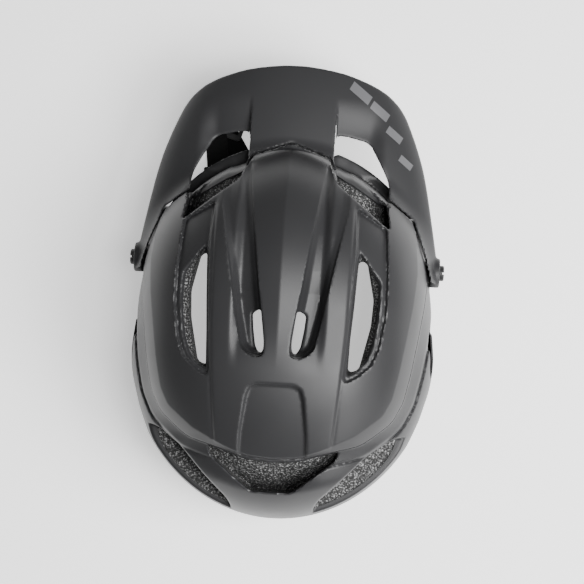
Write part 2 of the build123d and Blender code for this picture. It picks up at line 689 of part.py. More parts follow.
def make_right_straps():
    """Right webbing: flat against the cavity wall, then on edge round the back."""
    divider = (RIGHT_DIVIDER_Y, 12.0)
    front_band = wall_band((ANCHORS["front"][0] + 4, 42), (divider[0] - 10, divider[1]), -1)
    rear_band = wall_band((ANCHORS["rear"][0] - 4, 42), (divider[0] + 10, divider[1]), -1)
    with BuildPart() as front_strap:
        add(front_band)
    keep(front_strap, "front_strap_right", 0x0E0E0F)
    with BuildPart() as rear_strap:
        add(rear_band)
    keep(rear_strap, "rear_strap_right", 0x0E0E0F)
    with BuildPart() as chin_strap:
        with BuildSketch(Plane.XY.offset(STRAP_FLOOR)):
            with BuildLine():
                Spline((-77.0, 37), (-75.4, 46), (-67.5, 62), (-50.0, 76), (-30.0, 82))
            trace(line_width=STRAP_THICKNESS)
        extrude(amount=STRAP_WIDTH)
    keep(chin_strap, "chin_strap_right", 0x0E0E0F)


LEVER_LENGTH = 16.6
LEVER_HEEL = 1.5  # how far the lever reaches behind its pin
LEVER_BASE = 4.5
LEVER_THICKNESS = 3.2
DIVIDER_PLATE = 3.6
HINGE_X = -3.5
HINGE_HEIGHT = 6.3
HINGE_RADIUS = 1.2


def divider_plane(word):
    """Working plane of a divider: its face, with x along the chin strap."""
    if word == "left":
        return Plane(origin=(*LEFT_DIVIDER, STRAP_FLOOR - 0.4), x_dir=(*CHIN_HEADING, 0), z_dir=(0, 0, 1))
    x, _ = wall_point(RIGHT_DIVIDER_Y, -1)
    return Plane(origin=(x + 1.2, RIGHT_DIVIDER_Y, 13.0), x_dir=(0, 0, -1), z_dir=(1, 0, 0))


def make_divider(word):
    """Strap divider: a slotted frame with a cam lever that locks the webbing."""
    plane = divider_plane(word)
    hinge_origin = plane.from_local_coords(Vector(HINGE_X, 0, HINGE_HEIGHT))
    hinge_plane = Plane(origin=hinge_origin, x_dir=plane.x_dir, z_dir=plane.y_dir)
    with BuildPart() as divider:
        with BuildSketch(plane):
            RectangleRounded(24, 26, 5)
            with Locations((-8.5, 0), (9.2, 0)):
                RectangleRounded(3, 18, 1.2, mode=Mode.SUBTRACT)
        extrude(amount=DIVIDER_PLATE)
        with BuildSketch(plane.offset(DIVIDER_PLATE)):
            with Locations((HINGE_X, 11), (HINGE_X, -11)):
                Rectangle(5, 3)
        extrude(amount=HINGE_HEIGHT + 2.1 - DIVIDER_PLATE)
        with BuildSketch(hinge_plane):
            Circle(HINGE_RADIUS + RUNNING_GAP)
        extrude(amount=20, both=True, mode=Mode.SUBTRACT)
    keep(divider, f"strap_divider_{word}", 0x18181A)

    with BuildPart() as lever:
        with BuildSketch(hinge_plane):
            Circle(HINGE_RADIUS)
        extrude(amount=12.4, both=True)
        with BuildSketch(plane.offset(LEVER_BASE)):
            with Locations((HINGE_X - LEVER_HEEL + LEVER_LENGTH / 2, 0)):
                RectangleRounded(LEVER_LENGTH, 18.2, 1.2)
        extrude(amount=LEVER_THICKNESS)
    keep(lever, f"divider_lever_{word}", 0x222224)


def make_buckle():
    """Side-release buckle: the plug under the visor and the socket inside the helmet."""
    heading = Vector(-0.3, -0.95, 0).normalized()
    plug_plane = Plane(origin=(50.5, -128, 1.0), x_dir=(heading.X, heading.Y, 0), z_dir=(0, 0, 1))
    with BuildPart() as plug:
        with BuildSketch(plug_plane):
            with Locations((-8, 0)):
                RectangleRounded(13, 24, 2.5)
            with Locations((-8, 0)):
                RectangleRounded(4.5, 18.5, 1.0, mode=Mode.SUBTRACT)
            with Locations((7, 8.6), (7, -8.6)):
                Rectangle(18, 3.2)
            with Locations((7, 0)):
                Rectangle(18, 3.0)
        extrude(amount=4.5)
        with BuildSketch(plug_plane):
            with Locations((13.5, 9.4), (13.5, -9.4)):
                RectangleRounded(6, 5, 1.4)
        extrude(amount=4.5)
    keep(plug, "buckle_plug", 0x141415)

    socket_plane = Plane(origin=(-15.5, 84.2, 1.0), x_dir=(0.985, 0.174, 0), z_dir=(0.174, -0.985, 0))
    with BuildPart() as socket:
        with BuildSketch(socket_plane):
            with Locations((0, 12)):
                RectangleRounded(30, 22, 3)
        extrude(amount=4.5, both=True)
        with BuildSketch(socket_plane):
            with Locations((5.5, 12)):
                Rectangle(24, 17)
        extrude(amount=2.9, both=True, mode=Mode.SUBTRACT)
        with BuildSketch(socket_plane):
            with Locations((-11, 12)):
                Rectangle(3, 17)
        extrude(amount=10, both=True, mode=Mode.SUBTRACT)
    keep(socket, "buckle_socket", 0x141415)

    with BuildPart() as strap_keeper:
        at = Plane(origin=(58.0, -88.0, STRAP_FLOOR - 0.6), x_dir=(-0.1, 0.995, 0), z_dir=(0, 0, 1))
        with BuildSketch(at):
            RectangleRounded(7, STRAP_WIDTH + 5, 1.5)
        extrude(amount=6.4)
        with BuildSketch(at.offset(1.0)):
            Rectangle(9, STRAP_WIDTH + 1.0)
        extrude(amount=4.2, mode=Mode.SUBTRACT)
    keep(strap_keeper, "strap_keeper", 0x141415)


make_upper_shell()
make_lower_shell()
make_liner()
make_visor()
make_pads()
make_anchors()
make_dial()
make_cradle()
make_arm(1, "left", True)
make_arm(-1, "right", False)
make_left_straps()
make_right_straps()
make_buckle()
for pivot_side, pivot_word in ((-1, "right"), (1, "left")):
    make_pivot(pivot_side, pivot_word)
    make_divider(pivot_word)
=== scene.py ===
"""Looks for the trail helmet: shells, foam, visor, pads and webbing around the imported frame.

Shapes are implicit forms in millimetres in the part's own frame, meshed by surface nets and
then snapped onto the form, so that every lip and bevel is real geometry.
"""

import json
import math

import bpy
import numpy as np
from mathutils import Matrix, Vector


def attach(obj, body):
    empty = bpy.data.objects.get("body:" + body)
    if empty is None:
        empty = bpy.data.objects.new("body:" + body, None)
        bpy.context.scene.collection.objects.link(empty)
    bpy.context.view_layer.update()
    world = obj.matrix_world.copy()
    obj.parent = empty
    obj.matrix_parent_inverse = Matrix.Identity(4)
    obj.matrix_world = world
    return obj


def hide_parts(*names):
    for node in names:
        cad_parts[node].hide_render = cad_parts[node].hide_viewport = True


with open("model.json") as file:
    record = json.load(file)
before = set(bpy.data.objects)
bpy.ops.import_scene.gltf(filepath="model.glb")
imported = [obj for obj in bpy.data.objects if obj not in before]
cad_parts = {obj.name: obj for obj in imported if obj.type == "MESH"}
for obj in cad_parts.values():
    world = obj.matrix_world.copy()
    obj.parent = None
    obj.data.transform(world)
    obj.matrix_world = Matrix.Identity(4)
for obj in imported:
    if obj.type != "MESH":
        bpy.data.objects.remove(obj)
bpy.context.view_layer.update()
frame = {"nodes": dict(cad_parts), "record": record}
MM = 0.001
CELL = 1.1  # surface net spacing, mm
VISOR_CELL = 1.1


# ---- camera, light and floor --------------------------------------------------------------
TARGET = Vector((-4.0, -1.0, 60.0)) * MM
CAMERA_DISTANCE = 1.540
CAMERA_ROLL = math.radians(2.0)  # sideways lean of the line of sight
CAMERA_YAW = math.radians(3.2)  # turn of the picture about the line of sight
LENS = 131.9
FLOOR_SIZE = 60.0
FLOOR_GREY = 0.93
FLOOR_GLOW = 0.7
WORLD_STRENGTH = 0.16


def add_camera():
    """Looks straight down with the visor at the top of the picture."""
    data = bpy.data.cameras.new("camera")
    data.lens = LENS
    data.sensor_width = 36.0
    camera = bpy.data.objects.new("camera", data)
    bpy.context.collection.objects.link(camera)
    back = Vector((-math.sin(CAMERA_ROLL), 0.0, math.cos(CAMERA_ROLL)))
    up = Vector((math.sin(CAMERA_YAW), -math.cos(CAMERA_YAW), 0.0))
    right = up.cross(back).normalized()
    up = back.cross(right).normalized()
    camera.location = TARGET + back * CAMERA_DISTANCE
    rotation = [[right[i], up[i], back[i]] for i in range(3)]
    camera.rotation_euler = Matrix(rotation).to_euler()
    bpy.context.scene.camera = camera


def add_light(name, place, target, size, power):
    """Soft square light aimed at a point."""
    data = bpy.data.lights.new(name, "AREA")
    data.shape = "SQUARE"
    data.size = size
    data.energy = power
    lamp = bpy.data.objects.new(name, data)
    bpy.context.collection.objects.link(lamp)
    lamp.location = Vector(place)
    lamp.rotation_euler = (Vector(target) - Vector(place)).to_track_quat("-Z", "Y").to_euler()


def add_stage():
    """Pale floor, pale surroundings and soft studio light from the wearer's right."""
    bpy.ops.mesh.primitive_plane_add(size=FLOOR_SIZE)
    floor = bpy.context.object
    floor.name = "floor"
    material = bpy.data.materials.new("floor_white")
    material.use_nodes = True
    shader = material.node_tree.nodes["Principled BSDF"]
    shader.inputs["Base Color"].default_value = (FLOOR_GREY, FLOOR_GREY, FLOOR_GREY, 1)
    shader.inputs["Roughness"].default_value = 0.9
    shader.inputs["Specular IOR Level"].default_value = 0.0
    shader.inputs["Emission Color"].default_value = (1, 1, 1, 1)
    shader.inputs["Emission Strength"].default_value = FLOOR_GLOW
    floor.data.materials.append(material)
    world = bpy.data.worlds.new("studio")
    bpy.context.scene.world = world
    world.use_nodes = True
    background = world.node_tree.nodes["Background"]
    background.inputs["Color"].default_value = (1, 1, 1, 1)
    background.inputs["Strength"].default_value = WORLD_STRENGTH
    middle = (0.0, 0.02, 0.1)
    add_light("key_right", (-0.80, 0.20, 1.25), middle, 0.7, 34.0)
    add_light("top_right", (-0.36, 0.05, 1.8), middle, 0.45, 20.0)
    add_light("side_right", (-0.95, 0.85, 0.75), middle, 0.6, 8.0)


add_camera()
add_stage()


# ---- the outer form -----------------------------------------------------------------------
# Lengths are in mm; CAVITY and BRIM list half width, front reach, rear reach and top.
HALF_WIDTH, FRONT_REACH, REAR_REACH = 108.0, 116.0, 122.5
FRONT_CENTRE, REAR_CENTRE = 10.0, 36.0
RING, CROWN = 62.0, 178.0  # heights of the widest ring and of the top
BLUFFNESS = 2.5  # 2 is an ellipsoid, more is boxier
RIM_TAPER = 0.05
CAVITY = (80.0, 90.0, 95.0, 150.0)
BRIM = (112.0, 210.0, 122.5, 114.6)
PIVOT = (-20.0, 80.0)  # y and z of the visor screws
SHELL = 1.5  # thickness of the skins over the foam
SEAM_POCKET_DEPTH = 3.4
POCKET_DEPTH = 7.5


def dome(p, half_width, front, rear, top, taper=0.0):
    """Near-true distance to a bluff dome with a straight middle; negative inside."""
    x, y, z = p
    dy = y - np.clip(y, FRONT_CENTRE, REAR_CENTRE)
    reach = np.where(dy < 0, front, rear)
    t = np.clip((RING - z) / RING, 0, None)
    shrink = 1 - taper * t * t
    ux = x / (half_width * shrink)
    uy = dy / (reach * shrink)
    u = np.sqrt(ux * ux + uy * uy) + 1e-6
    w = np.clip((z - RING) / (top - RING), 0, None)
    f = (u ** BLUFFNESS + w ** BLUFFNESS) ** (1 / BLUFFNESS)
    slope_u = (u / f) ** (BLUFFNESS - 1)
    slope_w = (w / f) ** (BLUFFNESS - 1) / (top - RING)
    flat = slope_u * np.sqrt((ux / half_width) ** 2 + (uy / reach) ** 2) / u
    return (f - 1) / np.sqrt(flat * flat + slope_w * slope_w + 1e-12)


def outer(p):
    """The helmet's outer form."""
    return dome(p, HALF_WIDTH, FRONT_REACH, REAR_REACH, CROWN, RIM_TAPER)


def cavity(p, inset=0.0):
    """The space for the head."""
    return dome(p, *CAVITY) + inset


def smooth_max(a, b, k):
    """Larger of two distances, rounded over k."""
    h = np.clip(k - np.abs(a - b), 0, None)
    return np.maximum(a, b) + h * h / (4 * k)


def smooth_min(a, b, k):
    """Smaller of two distances, rounded over k."""
    return -smooth_max(-a, -b, k)


def ramp(value, low, high):
    """0 below low, 1 above high, smooth between."""
    t = np.clip((value - low) / (high - low), 0, 1)
    return t * t * (3 - 2 * t)


# ---- outlines as distance maps ------------------------------------------------------------
GRID_STEP = 0.4


def rounded(points, radius=2.0):
    """A closed outline with its corners rounded; each corner takes at most radius of a side."""
    ring = np.array(points, float)
    for share in (1.0, 0.36):
        following = np.roll(ring, -1, axis=0)
        length = np.linalg.norm(following - ring, axis=1, keepdims=True) + 1e-9
        cut = np.minimum(radius * share / length, 0.3)
        ring = np.stack([ring * (1 - cut) + following * cut, ring * cut + following * (1 - cut)], 1)
        ring = ring.reshape(-1, 2)
    return ring


class Outline:
    """Signed distance to a closed outline in a plane, looked up from a fine map."""

    def __init__(self, points, radius=2.0, margin=14.0, mirror=True):
        ring = rounded(points, radius)
        self.mirror = mirror
        low = ring.min(0) - margin
        high = ring.max(0) + margin
        self.low = low
        self.shape = np.ceil((high - low) / GRID_STEP).astype(int) + 1
        us = low[0] + GRID_STEP * np.arange(self.shape[0])
        vs = low[1] + GRID_STEP * np.arange(self.shape[1])
        u, v = np.meshgrid(us, vs, indexing="ij")
        best = np.full(u.shape, 1e9)
        inside = np.zeros(u.shape, bool)
        following = np.roll(ring, -1, axis=0)
        for (au, av), (bu, bv) in zip(ring, following):
            du, dv = bu - au, bv - av
            t = np.clip(((u - au) * du + (v - av) * dv) / (du * du + dv * dv + 1e-12), 0, 1)
            best = np.minimum(best, (u - au - t * du) ** 2 + (v - av - t * dv) ** 2)
            crosses = (av > v) != (bv > v)
            with np.errstate(divide="ignore", invalid="ignore"):
                at = au + (v - av) * du / np.where(dv == 0, 1e-9, dv)
            inside ^= crosses & (u < at)
        self.map = (np.sqrt(best) * np.where(inside, -1, 1)).astype(np.float32)

    def __call__(self, u, v):
        u = np.abs(u) if self.mirror else u
        fu = np.clip((u - self.low[0]) / GRID_STEP, 0, self.shape[0] - 1.001)
        fv = np.clip((v - self.low[1]) / GRID_STEP, 0, self.shape[1] - 1.001)
        iu, iv = fu.astype(np.int32), fv.astype(np.int32)
        a, b = fu - iu, fv - iv
        m = self.map
        return ((m[iu, iv] * (1 - a) + m[iu + 1, iv] * a) * (1 - b)
                + (m[iu, iv + 1] * (1 - a) + m[iu + 1, iv + 1] * a) * b)


def closed(half):
    """Whole outline from its left half, listed from front to back."""
    return list(half) + [(-x, y) for x, y in reversed(half) if x > 0]


DECK = Outline(closed([
    (0, -104), (26.5, -95), (33, -76.5), (71, -46), (69.5, -58), (70, -67), (87, -55), (90, -44),
    (92, -18), (90, 4), (87, 24), (83, 49), (79, 68), (73, 80), (55, 94), (31, 105.5), (18, 110),
    (0, 111.5)]), 1.5, 60.0, mirror=False)
SEAM = Outline(closed([
    (0, -104), (26.5, -95), (31, -84), (67, -62), (70, -67), (87, -55), (90, -46), (96, -30),
    (101, -12), (125, -6), (125, -190)]), 0.8, mirror=False)
VISOR = Outline(closed([
    (0, -160.6), (29, -157.5), (45, -153), (60, -147), (69.5, -140.5), (77, -132), (82, -122),
    (90, -102), (95, -85), (100, -60), (105, -34), (110, -6), (0, -6)]), 7, mirror=False)
VISOR_VENT = Outline([(30, -70), (30, -112), (38, -111.5), (54, -108), (63, -92), (69, -80),
                      (70, -60), (60, -40), (30, -40)], 2.6)
BROW_VENT = Outline([(31, -90), (33.5, -76.5), (71, -46.5), (68, -64), (51, -79)], 1.4)
OUTER_TOP = Outline([(51, -32), (60, -19.5), (67.5, -10.5), (67.5, 8), (65, 31), (61, 42.5),
                     (53, 51), (47, 54), (48.5, 20), (50, -10)], 1.4)
OUTER_DEEP = Outline([(52, -24), (56.5, -23), (62, 2), (61, 20), (54.5, 49), (48.5, 51), (49, 30),
                      (50.5, 8)], 1.4)
INNER_TOP = Outline([(14, 0), (11.5, 16), (9, 33), (9, 40), (12, 43), (18.5, 41.5), (23.5, 36),
                     (27.5, 20), (30.5, 2)], 1.4)
INNER_DEEP = Outline([(12, 12), (9.6, 33), (9.8, 39), (12, 41), (15, 37), (17, 25), (18, 14)], 1.4)
CHANNEL = Outline([(26.8, -97), (24.5, -74), (18.5, -34), (14.5, -3), (9, 33), (9, 41),
                   (12, 43.5), (19, 42), (24.5, 37), (28.5, 18), (34, -12), (43, -59), (42, -97)], 1.2)
BRIDGE = Outline([(48.5, -60), (69, -47), (71.5, -13), (71.5, 10), (68, 34), (63, 46), (54, 54),
                  (47, 58), (45, 55), (48, 10), (49.5, -30)], 1.4)
RECESS = Outline([(-15.5, 61.5), (15.5, 61.5), (19, 68), (22.5, 96), (23.5, 150), (-23.5, 150),
                  (-22.5, 96), (-19, 68)], 3, mirror=False)
REAR_CENTRE_PLAN = Outline([(-46, 98), (46, 98), (43, 112), (14, 136), (-14, 136), (-43, 112)], 2,
                           mirror=False)
REAR_SIDE_PLAN = Outline([(92, 96), (94, 112), (82, 134), (62, 152), (38, 162), (28, 152),
                          (31, 143), (46.5, 127), (63.5, 109), (72, 103), (81, 97)], 2.5)
REAR_TUNNEL = Outline([(36, 110), (54, 110), (50, 122), (38, 122)], 4)
SIDE_WINDOW = Outline([(16, 76), (40, 72), (57, 80), (50, 93), (22, 95)], 3, mirror=False)
POCKET = Outline([(0, 60), (-55, 64), (-85, 80), (-130, 84), (-130, 200), (60, 200), (20, 92)], 1,
                 mirror=False)
CREASE_Y = (-62, -30, 20, 60, 106)
CREASE_X = (47.3, 46.8, 46, 43.5, 39.5)
CHANNEL_Y = (-96, -85, -40, -15, 0, 43)
CHANNEL_DEPTH = (0.8, 1.2, 2.8, 5.5, 9.0, 12.0)
BROW_ARCH_Y = (-112, -96, -80, -64, -50, -40, -32, -26, -20)
BROW_ARCH_Z = (64, 62, 56, 47, 36, 24, 12, 5, 0)
EAR_ARCH_Y = (3, 14, 25, 36, 47, 58, 68, 78, 90)
EAR_ARCH_Z = (0, 14, 20, 23, 23, 20, 15.5, 10, 0)


# ---- fields -------------------------------------------------------------------------------
BEVEL_FALL, STEP_FALL, FLARE_RISE = 3.0, 1.4, 6.6  # across and below the band round the deck
JOINT_DEPTH, JOINT_OFFSET = 0.9, 9
ROOF_PITCH, ROOF_HALF_WIDTH = 0.15, 26
CREASE_LINE, CREASE_FALL, CREASE_WIDTH = 0.5, 0.7, 1.2
BRIDGE_FALL, RECESS_FALL = 2.4, 3.0
NOSE_HALF_WIDTH, NOSE_LOW, NOSE_FALL = 33, 84, 3.6
SEAT_LOW, SEAT_FALL = 74, 6.8
VENT_LOW, REAR_VENT_LOW, REAR_VENT_DEPTH = 85, 105, 15
SCOOP_DEPTH = 5.5
BRIM_SKIN, BRIM_LOW, SEAM_GAP = 2.4, 70, 1.1
SCREW_SEAT_RADIUS, SCREW_SEAT_INNER, SCREW_SEAT_OUTER = 10.4, 101.5, 108.4
SCREW_BORE_RADIUS, SCREW_BORE_INNER = 2.9, 100


def ledge_width(a, y):
    """Width of the sloped band round the deck."""
    return 8.0 * ramp(y, -52, -20) * (1 - 0.7 * ramp(y, 84, 104) * ramp(-a, -66, -26)) + 0.01


def drop(x, y):
    """How far the shells lie below the plain outer form; negative where they stand proud."""
    a = np.abs(x)
    deck = DECK(x, y)
    width = ledge_width(a, y)
    ledge = deck - width
    behind = 1 - ramp(-SEAM(x, y), -0.6, 1.6)
    bevel = BEVEL_FALL * np.clip(deck / width, 0, 1)
    step = STEP_FALL * ramp(ledge, -0.2, 0.9)
    flare = FLARE_RISE * ramp(ledge, 1, 24) * ramp(y, -70, 15)
    joint = JOINT_DEPTH * np.exp(-(ledge - JOINT_OFFSET) ** 2) * ramp(y, -30, 0)
    roof = ROOF_PITCH * np.minimum(a, ROOF_HALF_WIDTH) * ramp(-y, -56, -10)
    roof = roof * ramp(-a, -33, -ROOF_HALF_WIDTH)
    groove = CHANNEL(x, y)
    steep = 0.45 * ramp(-groove, -0.5, 0.9) + 0.55 * ramp(-groove, 0, 5)
    channel = np.interp(y, CHANNEL_Y, CHANNEL_DEPTH) * steep
    side = a - np.interp(y, CREASE_Y, CREASE_X)
    along = ramp(y, -64, -56) * (1 - ramp(y, 98, 106))
    line = CREASE_LINE * np.exp(-(side / CREASE_WIDTH) ** 2)
    crease = (line + CREASE_FALL * ramp(side, -CREASE_WIDTH, CREASE_WIDTH)) * along
    crease = crease * (1 - 0.75 * ramp(a, 60, 84))
    bridge = BRIDGE_FALL * ramp(-BRIDGE(x, y), -0.9, 1.1)
    recess = RECESS_FALL * ramp(-RECESS(x, y), -1.5, 1.5) * ramp(-ledge, -0.5, 1.5)
    low = (bevel + step - flare + joint) * behind
    return low + roof + channel + crease + bridge + recess


def pocket(x, y, z):
    """Room for the visor to tilt, ahead of its seam."""
    deep = SEAM_POCKET_DEPTH + (POCKET_DEPTH - SEAM_POCKET_DEPTH) * ramp(-np.abs(x), -92, -78)
    return deep * ramp(-np.maximum(SEAM(x, y), POCKET(y, z)), -0.6, 1.6)


def shell_face(p):
    """The shells' outer face: dome, nose under the visor's rear edge, and visor arm seats."""
    x, y, z = p
    a = np.abs(x)
    rest = drop(x, y)
    seam = SEAM(x, y)
    brim = dome(p, *BRIM)
    main = outer(p) + rest + pocket(x, y, z)
    nose = brim + rest + NOSE_FALL * ramp(-seam, -0.4, 0.9)
    nose = np.maximum(np.maximum(nose, -2.6 - seam), np.maximum(a - NOSE_HALF_WIDTH, NOSE_LOW - z))
    seat = smooth_max(brim + SEAT_FALL, smooth_max(-57 - y, SEAT_LOW - z, 4), 4)
    seat = smooth_max(seat, y + 9, 6)
    return smooth_min(smooth_min(main, nose, 1), seat, 3)


def underside(x, y, z):
    """Positive below the helmet's lower rim."""
    brow = np.interp(y, BROW_ARCH_Y, BROW_ARCH_Z)
    ear = np.interp(y, EAR_ARCH_Y, EAR_ARCH_Z, left=0, right=0)
    rim = np.maximum(brow, ear)
    arc = 30 + 24 * np.sqrt(np.clip(1 - (x / 31) ** 2, 0, 1))
    nape = smooth_max(np.abs(x) - 31, smooth_max(z - arc, 90 - y, 1), 6)
    return smooth_max(rim - z, -nape, 4)


def holes(x, y, z, depth):
    """Distance to the vents, negative inside one."""
    a = np.abs(x)
    deeper = ramp(depth, 1, 16)
    outer_vent = OUTER_TOP(x, y) * (1 - deeper) + OUTER_DEEP(x, y) * deeper
    inner_vent = INNER_TOP(x, y) * (1 - deeper) + INNER_DEEP(x, y) * deeper
    behind_band = -0.557 * (a - 31) + 0.83 * (y + 89.6)
    brow_vent = np.maximum(BROW_VENT(x, y), depth - 8.8 - 0.6 * behind_band)
    top = np.maximum(np.minimum(np.minimum(outer_vent, brow_vent), inner_vent), VENT_LOW - z)
    outside = 1.2 - DECK(x, y) + ledge_width(a, y)
    rear_centre = np.maximum(REAR_CENTRE_PLAN(x, y), depth - REAR_VENT_DEPTH)
    rear_side = np.maximum(REAR_SIDE_PLAN(x, y), depth - REAR_VENT_DEPTH)
    rear_limit = smooth_max(outside, REAR_VENT_LOW - z, 4)
    rear = np.maximum(np.minimum(rear_centre, rear_side), rear_limit)
    tunnel = np.maximum(REAR_TUNNEL(x, z), np.maximum(60 - y, 10 - depth))
    return np.minimum(np.minimum(top, tunnel), rear)


def body_form(p):
    """Shells and foam together."""
    x, y, z = p
    plain = outer(p)
    form = smooth_max(shell_face(p), -holes(x, y, z, -plain), 1.5)
    form = smooth_max(form, underside(x, y, z), 5)
    return smooth_max(form, -cavity(p), 2)


def foam_form(p):
    """The foam alone: a little inside the shells, and set back in the vents."""
    x, y, z = p
    plain = outer(p)
    form = shell_face(p) + SHELL + 0.2
    form = smooth_max(form, 0.7 - holes(x, y, z, -plain), 1.6)
    form = smooth_max(form, underside(x, y, z) + 0.5, 5)
    return smooth_max(form, -cavity(p), 2)


def scoop(x, y):
    """Hollow in the visor ahead of each of its vents."""
    a = np.abs(x)
    lengthwise = ramp(y, -139, -109) * ramp(-y, 84, 102)
    return SCOOP_DEPTH * lengthwise * ramp(a, 29.2, 31.2) * ramp(-a, -68, -52)


def visor_face(p):
    """The visor's upper face, run smoothly into the helmet's outer form."""
    return smooth_min(outer(p), dome(p, *BRIM), 8) + scoop(p[0], p[1])


def visor_form(p):
    """Thin brim with two vents, side arms and round seats for the screws."""
    x, y, z = p
    face = visor_face(p)
    skin = smooth_max(face, -face - BRIM_SKIN, 0.8)
    edge = smooth_max(VISOR(x, y), SEAM(x, y) + SEAM_GAP, 3)
    edge = smooth_max(edge, -VISOR_VENT(x, y), 2)
    edge = smooth_max(edge, BRIM_LOW - z, 4)
    form = smooth_max(skin, edge, 1.4)
    radial = np.hypot(y - PIVOT[0], z - PIVOT[1])
    reach = np.abs(x)
    ends = np.maximum(reach - SCREW_SEAT_OUTER, SCREW_SEAT_INNER - reach)
    seat = smooth_max(radial - SCREW_SEAT_RADIUS, ends, 1.4)
    bore = np.maximum(radial - SCREW_BORE_RADIUS, SCREW_BORE_INNER - reach)
    return np.maximum(smooth_min(form, seat, 2.0), -bore)


# ---- meshing ------------------------------------------------------------------------------
CORNERS = [(i, j, k) for i in (0, 1) for j in (0, 1) for k in (0, 1)]
EDGES = [(a, b) for a in CORNERS for b in CORNERS if a < b and sum(np.abs(np.subtract(a, b))) == 1]


def sample(form, low, shape, cell):
    """Field values on a regular grid, one slab at a time."""
    values = np.empty(shape, np.float32)
    y, z = np.meshgrid(low[1] + cell * np.arange(shape[1]), low[2] + cell * np.arange(shape[2]),
                       indexing="ij")
    for i in range(shape[0]):
        values[i] = form((np.full(y.shape, low[0] + cell * i), y, z))
    return values


def slope(form, points, h=0.06):
    """Gradient of a field at points."""
    columns = []
    for axis in range(3):
        shift = np.zeros(3)
        shift[axis] = h
        ahead = form(tuple((points + shift).T))
        behind = form(tuple((points - shift).T))
        columns.append((ahead - behind) / (2 * h))
    return np.stack(columns, 1)


def settle(form, points, limit, rounds=3):
    """Moves points onto the field's zero surface."""
    for _ in range(rounds):
        value = form(tuple(points.T))
        gradient = slope(form, points)
        step = -value[:, None] * gradient / ((gradient ** 2).sum(1) + 0.05)[:, None]
        length = np.linalg.norm(step, axis=1, keepdims=True) + 1e-9
        points = points + step * np.minimum(1, limit / length)
    return points


def net(form, low, high, cell):
    """Surface net of a field: one point in each crossed cell, one quad on each crossed edge."""
    low = np.array(low, float) + 0.013
    shape = np.ceil((np.array(high) - low) / cell).astype(int) + 1
    values = sample(form, low, shape, cell)
    inside = values < 0
    count = np.zeros(shape - 1, np.int8)
    for i, j, k in CORNERS:
        count += inside[i:shape[0] - 1 + i, j:shape[1] - 1 + j, k:shape[2] - 1 + k]
    cells = np.argwhere((count > 0) & (count < 8))
    index = np.full(shape - 1, -1, np.int64)
    index[tuple(cells.T)] = np.arange(len(cells))
    total = np.zeros((len(cells), 3))
    crossings = np.zeros(len(cells))
    for a, b in EDGES:
        va = values[tuple((cells + a).T)].astype(float)
        vb = values[tuple((cells + b).T)].astype(float)
        crossed = (va < 0) != (vb < 0)
        t = np.where(crossed, va / np.where(crossed, va - vb, 1), 0)
        spot = np.array(a) + t[:, None] * np.subtract(b, a)
        total += np.where(crossed[:, None], spot, 0)
        crossings += crossed
    points = low + cell * (cells + total / crossings[:, None])
    quads = []
    for axis in range(3):
        u, v = (axis + 1) % 3, (axis + 2) % 3
        here = np.take(inside, range(shape[axis] - 1), axis)
        there = np.take(inside, range(1, shape[axis]), axis)
        spots = np.argwhere(here != there)
        spots = spots[(spots[:, u] > 0) & (spots[:, v] > 0)]
        spots = spots[(spots[:, u] < shape[u] - 1) & (spots[:, v] < shape[v] - 1)]
        ring = []
        for du, dv in ((-1, -1), (0, -1), (0, 0), (-1, 0)):
            moved = spots.copy()
            moved[:, u] += du
            moved[:, v] += dv
            ring.append(index[tuple(moved.T)])
        ring = np.stack(ring, 1)
        outward = inside[tuple(spots.T)]
        ring[~outward] = ring[~outward][:, ::-1]
        quads.append(ring)
    return settle(form, points, 0.7 * cell), np.concatenate(quads)


def triangles(points, quads):
    """Quads split along their shorter diagonal."""
    first = np.linalg.norm(points[quads[:, 0]] - points[quads[:, 2]], axis=1)
    second = np.linalg.norm(points[quads[:, 1]] - points[quads[:, 3]], axis=1)
    short = (first <= second)[:, None]
    one = np.where(short, quads[:, [0, 1, 2]], quads[:, [0, 1, 3]])
    two = np.where(short, quads[:, [0, 2, 3]], quads[:, [1, 2, 3]])
    return np.concatenate([one, two])


def clip(points, faces, keep):
    """The part of a triangle mesh where keep is negative, cut along its zero line."""
    keep = np.where(np.abs(keep) < 0.03, np.where(keep < 0, -0.03, 0.03), keep)
    inside = keep < 0
    count = inside[faces].sum(1)
    whole = faces[count == 3]
    pieces = [whole]
    cuts = []
    for wanted, odd_inside in ((1, True), (2, False)):  # one corner kept, then two
        mixed = faces[count == wanted]
        odd = np.argmax(inside[mixed] == odd_inside, axis=1)
        rows = np.arange(len(mixed))
        turned = np.stack([mixed[rows, (odd + n) % 3] for n in range(3)], 1)
        cuts.append(turned)
    one, two = cuts
    ends = np.concatenate([one[:, [0, 1]], one[:, [0, 2]], two[:, [0, 1]], two[:, [0, 2]]])
    ends = np.sort(ends, axis=1)
    pairs, where = np.unique(ends, axis=0, return_inverse=True)
    where = where.reshape(-1)
    t = keep[pairs[:, 0]] / (keep[pairs[:, 0]] - keep[pairs[:, 1]])
    added = points[pairs[:, 0]] * (1 - t[:, None]) + points[pairs[:, 1]] * t[:, None]
    where = where + len(points)
    n, m = len(one), len(two)
    a, b = where[:n], where[n:2 * n]
    c, d = where[2 * n:2 * n + m], where[2 * n + m:]
    pieces.append(np.stack([one[:, 0], a, b], 1))
    pieces.append(np.stack([c, two[:, 1], two[:, 2]], 1))
    pieces.append(np.stack([c, two[:, 2], d], 1))
    faces = np.concatenate(pieces)
    points = np.concatenate([points, added])
    used, faces = np.unique(faces, return_inverse=True)
    return points[used], faces.reshape(-1, 3)


